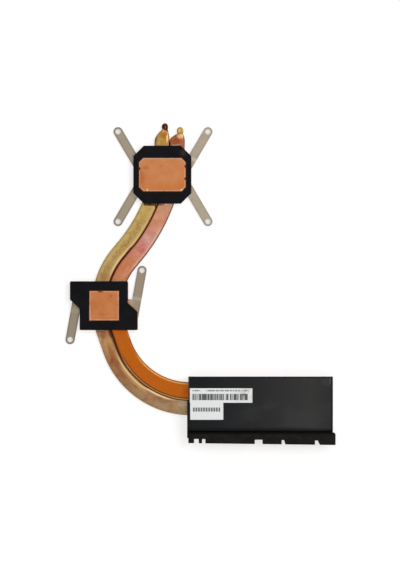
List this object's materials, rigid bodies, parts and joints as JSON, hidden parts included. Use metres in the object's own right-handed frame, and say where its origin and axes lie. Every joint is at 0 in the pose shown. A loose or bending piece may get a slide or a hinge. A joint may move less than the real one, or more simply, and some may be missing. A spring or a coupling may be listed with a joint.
{
  "type": "laptop heatsink with heat pipes",
  "caption": "Flat copper heat pipes in a double bend join sprung processor and graphics cold plates to an aluminium fin stack with a cover film, labels and a notched foam vent seal.",
  "frame": {"origin": "centre of the processor contact face", "axes": "+Z out of the processor contact face, +Y along the object towards the closed pipe ends, +X towards the fin stack's far end"},
  "size_m": [0.159, 0.1895, 0.01],
  "materials": {
    "tarnished_copper": "satin, yellowed and mottled",
    "bare_copper": "satin, with heat tints",
    "plate_copper": "ground, satin",
    "insulating_film": "satin",
    "spring_steel": "satin",
    "rivet_steel": "satin",
    "fin_aluminium": "mill finish",
    "cover_film": "satin, cloudy sheen",
    "seal_foam": "matte, fine cells",
    "label_paper": "smooth"
  },
  "bodies": {
    "root": {"heat_pipe_outer": "tarnished_copper", "heat_pipe_inner": "bare_copper", "cpu_cold_plate": "plate_copper", "gpu_cold_plate": "plate_copper", "cpu_insulating_film": "insulating_film", "gpu_insulating_film": "insulating_film", "cpu_spring_right": "spring_steel", "cpu_spring_left": "spring_steel", "gpu_spring_right": "spring_steel", "gpu_spring_left": "spring_steel", "cpu_spring_rivets": "rivet_steel", "gpu_spring_rivets": "rivet_steel", "fin_stack": "fin_aluminium", "fin_cover_film": "cover_film", "vent_seal_strip": "seal_foam", "label_upper": "label_paper", "label_lower": "label_paper"}
  },
  "joints": []
}
